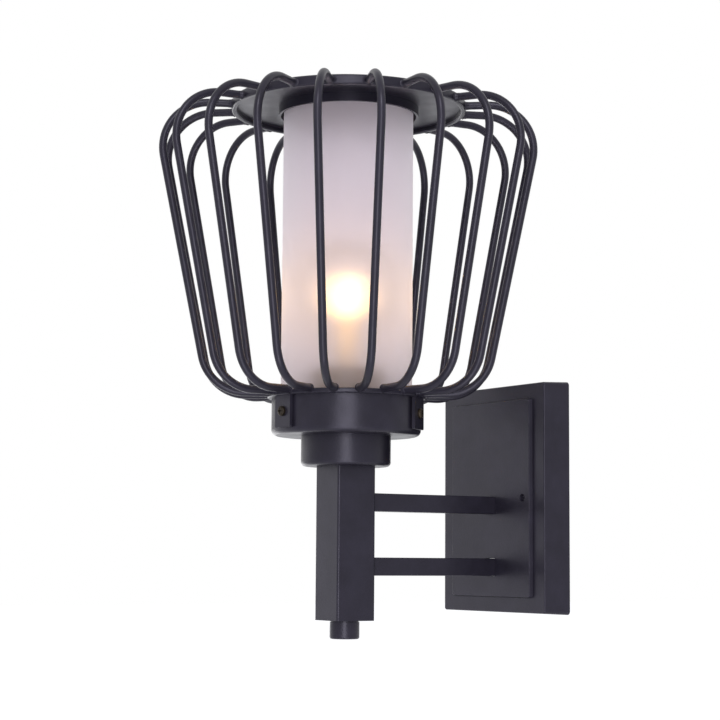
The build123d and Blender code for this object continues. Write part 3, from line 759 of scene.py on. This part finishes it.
def earth_stripes():
    """Silicone rubber, extruded in two colours over the earth lead.

    Green with a yellow stripe along it.
    """
    material, tree = start("two-colour silicone sleeve, extruded")
    normal = add(tree, "ShaderNodeNewGeometry").outputs["Normal"]
    sideways = add(tree, "ShaderNodeSeparateXYZ", {0: normal}).outputs["X"]
    stripe_start = 0.25
    yellow = add(tree, "ShaderNodeMath", {0: sideways, 1: stripe_start}, operation="GREATER_THAN")
    sleeve_rubber(tree, place_in_mm(tree), yellow, "#2F7A3A", "#D9C832")
    return material


class WiringOperator(bpy.types.Operator):
    """Finishes the terminal block, its screws and the leads"""

    bl_idname = "wall_light.wiring"
    bl_label = "Wiring"

    def execute(self, context):
        # Off-white, half glossy.
        polyamide = moulded(
            "polyamide, moulded",
            "#D8D6CC",
            "#E6E4DC",
            roughness=0.42,
            grain=0.8,
            depth=0.01,
        )
        dress(polyamide, "terminal_block")
        # Yellow with bright highlights.
        brass = metal("brass, turned", "#AE8848", "#D0AC6C", roughness=0.3, lump=4.0)
        dress(brass, "terminal_screws", "earth_screw")
        dress(two_leads(), "lamp_leads")
        dress(earth_stripes(), "earth_lead")
        return {"FINISHED"}


class SealOperator(bpy.types.Operator):
    """Finishes the seals at both ends of the glass"""

    bl_idname = "wall_light.seals"
    bl_label = "Seals"

    def execute(self, context):
        # Nearly black and matt.
        rubber = moulded(
            "EPDM rubber, moulded",
            "#1C1C1E",
            "#2A2A2C",
            roughness=0.7,
            grain=0.6,
            depth=0.02,
        )
        dress(rubber, "glass_seat", "top_seal")
        return {"FINISHED"}


def seen_directly(tree):
    """1 for rays from the camera, off a gloss or through glass, else 0."""
    path = add(tree, "ShaderNodeLightPath").outputs
    first = {0: path["Is Camera Ray"], 1: path["Is Glossy Ray"]}
    both = add(tree, "ShaderNodeMath", first, operation="MAXIMUM")
    second = {0: both, 1: path["Is Transmission Ray"]}
    return add(tree, "ShaderNodeMath", second, operation="MAXIMUM")


def white_world():
    """White behind the object, and a plain soft light on it."""
    world = bpy.data.worlds.new("studio")
    world.use_nodes = True
    tree = world.node_tree
    tree.nodes.clear()
    soft = add(tree, "ShaderNodeBackground", {"Color": rgba(linear("#F4F5FA")), "Strength": 0.6})
    white = add(tree, "ShaderNodeBackground", {"Color": rgba(WHITE), "Strength": 1.0})
    shown = add(tree, "ShaderNodeMixShader", {0: seen_directly(tree), 1: soft, 2: white})
    add(tree, "ShaderNodeOutputWorld", {"Surface": shown})
    bpy.context.scene.world = world


def pale_floor(drop):
    """Pale floor that shows white where it is fully lit and keeps the object's shadow."""
    material, tree = start("studio floor")
    paint = add(tree, "ShaderNodeBsdfDiffuse", {"Color": rgba(linear("#E4E4E6"))})
    far = add(tree, "ShaderNodeVectorMath", {0: place_in_mm(tree)}, operation="LENGTH").outputs["Value"]
    # How much white is added to what is seen of the floor, near the light and from 4 m on.
    fading = {"Value": far, "From Min": 300, "From Max": 4000, "To Min": 0.45, "To Max": 0.64}
    fade = add(tree, "ShaderNodeMapRange", fading)
    lift = add(tree, "ShaderNodeMath", {0: seen_directly(tree), 1: fade}, operation="MULTIPLY")
    white = add(tree, "ShaderNodeEmission", {"Color": rgba(WHITE), "Strength": lift})
    shader = add(tree, "ShaderNodeAddShader", {0: paint, 1: white})
    add(tree, "ShaderNodeOutputMaterial", {"Surface": shader})
    half = 30.0
    mesh = bpy.data.meshes.new("floor")
    corners = [(-half, -half, 0), (half, -half, 0), (half, half, 0), (-half, half, 0)]
    mesh.from_pydata(corners, [], [(0, 1, 2, 3)])
    mesh.materials.append(material)
    floor = bpy.data.objects.new("floor", mesh)
    floor.location = (0, 0, cad_box[0][2] - drop)
    bpy.context.scene.collection.objects.link(floor)


def around_lamp(azimuth, height, distance):
    """Place at an azimuth in degrees from straight out of the wall, about the lamp's axis."""
    angle = math.radians(azimuth)
    return Vector((distance * math.sin(angle), AXIS.y - distance * math.cos(angle), height))


def soft_lamp(name, place, width, height, power, color=WHITE):
    """Soft lamp aimed at the wall light, halfway up."""
    halfway = 0.08
    aim = Vector((0, AXIS.y, halfway))
    light = bpy.data.lights.new(name, "AREA")
    light.shape = "RECTANGLE"
    light.color = color
    light.energy = power
    light.size = width
    light.size_y = height
    lamp = bpy.data.objects.new(name, light)
    lamp.visible_camera = False
    lamp.location = place
    lamp.rotation_euler = (place - aim).to_track_quat("Z", "Y").to_euler()
    bpy.context.scene.collection.objects.link(lamp)


def photo_camera(focal_length):
    """Camera at the photograph's viewpoint."""
    azimuth = 57.963
    yaw = 0.412
    pitch = 6.114
    roll = 0.42
    place = around_lamp(azimuth, height=-39.175 * MM, distance=1132.84 * MM)
    turned = math.radians(azimuth - yaw)
    raised = math.radians(pitch)
    tilted = math.radians(roll)
    flat = math.cos(raised)
    ahead = Vector((-math.sin(turned) * flat, math.cos(turned) * flat, math.sin(raised)))
    level = ahead.cross(UP).normalized()
    upright = level.cross(ahead)
    right = level * math.cos(tilted) + upright * math.sin(tilted)
    up = upright * math.cos(tilted) - level * math.sin(tilted)
    data = bpy.data.cameras.new("camera")
    data.sensor_width = 36.0
    data.lens = focal_length
    data.clip_start = 0.01
    camera = bpy.data.objects.new("camera", data)
    rotation = Matrix((right, up, -ahead)).transposed().to_4x4()
    camera.matrix_world = Matrix.Translation(place) @ rotation
    bpy.context.scene.collection.objects.link(camera)
    bpy.context.scene.camera = camera


class StageOperator(bpy.types.Operator):
    """Sets up the floor, the light and the camera"""

    bl_idname = "wall_light.stage"
    bl_label = "Stage"

    def execute(self, context):
        settings = context.scene.wall_light.stage
        context.scene.view_settings.view_transform = "Standard"
        white_world()
        pale_floor(settings.floor_drop)
        soft_lamp(
            "key lamp",
            around_lamp(azimuth=58, height=-0.1, distance=1.6),
            width=0.6,
            height=1.5,
            power=settings.key_power,
        )
        soft_lamp(
            "low lamp",
            around_lamp(azimuth=58, height=-0.65, distance=0.75),
            width=0.5,
            height=0.25,
            power=settings.low_power,
        )
        soft_lamp(
            "high lamp",
            around_lamp(azimuth=58, height=1.15, distance=1.4),
            width=0.5,
            height=0.6,
            power=settings.high_power,
        )
        soft_lamp(
            "side lamp",
            around_lamp(azimuth=-60, height=0.2, distance=1.6),
            width=0.9,
            height=1.2,
            power=settings.side_power,
            color=settings.side_color,
        )
        soft_lamp(
            "back lamp",
            around_lamp(azimuth=-102, height=-0.3, distance=1.6),
            width=0.7,
            height=0.7,
            power=settings.back_power,
        )
        photo_camera(settings.focal_length)
        return {"FINISHED"}


class WallLightPanel(bpy.types.Panel):
    """The wall light's settings and steps"""

    bl_idname = "VIEW3D_PT_wall_light"
    bl_label = "Wall Light"
    bl_space_type = "VIEW_3D"
    bl_region_type = "UI"
    bl_category = "Wall Light"

    def draw(self, context):
        settings = context.scene.wall_light
        for group in (settings.coat, settings.glass, settings.lamp, settings.weld, settings.stage):
            box = self.layout.box()
            for name in group.__annotations__:
                box.prop(group, name)
        for operator in OPERATORS:
            self.layout.operator(operator.bl_idname)


SETTINGS = (
    CoatSettings,
    GlassSettings,
    LampSettings,
    WeldSettings,
    StageSettings,
    WallLightSettings,
)
OPERATORS = (
    PowderCoatOperator,
    WeldOperator,
    GlassOperator,
    LampOperator,
    HolderOperator,
    FasteningOperator,
    WiringOperator,
    SealOperator,
    StageOperator,
)


def register():
    for item in (*SETTINGS, *OPERATORS, WallLightPanel):
        bpy.utils.register_class(item)
    bpy.types.Scene.wall_light = PointerProperty(type=WallLightSettings)


def unregister():
    del bpy.types.Scene.wall_light
    for item in reversed((*SETTINGS, *OPERATORS, WallLightPanel)):
        bpy.utils.unregister_class(item)


def main():
    register()
    bpy.ops.wall_light.powder_coat()
    bpy.ops.wall_light.welds()
    bpy.ops.wall_light.glass()
    bpy.ops.wall_light.lamp()
    bpy.ops.wall_light.holder()
    bpy.ops.wall_light.fastenings()
    bpy.ops.wall_light.wiring()
    bpy.ops.wall_light.seals()
    bpy.ops.wall_light.stage()


if __name__ == "__main__":
    main()
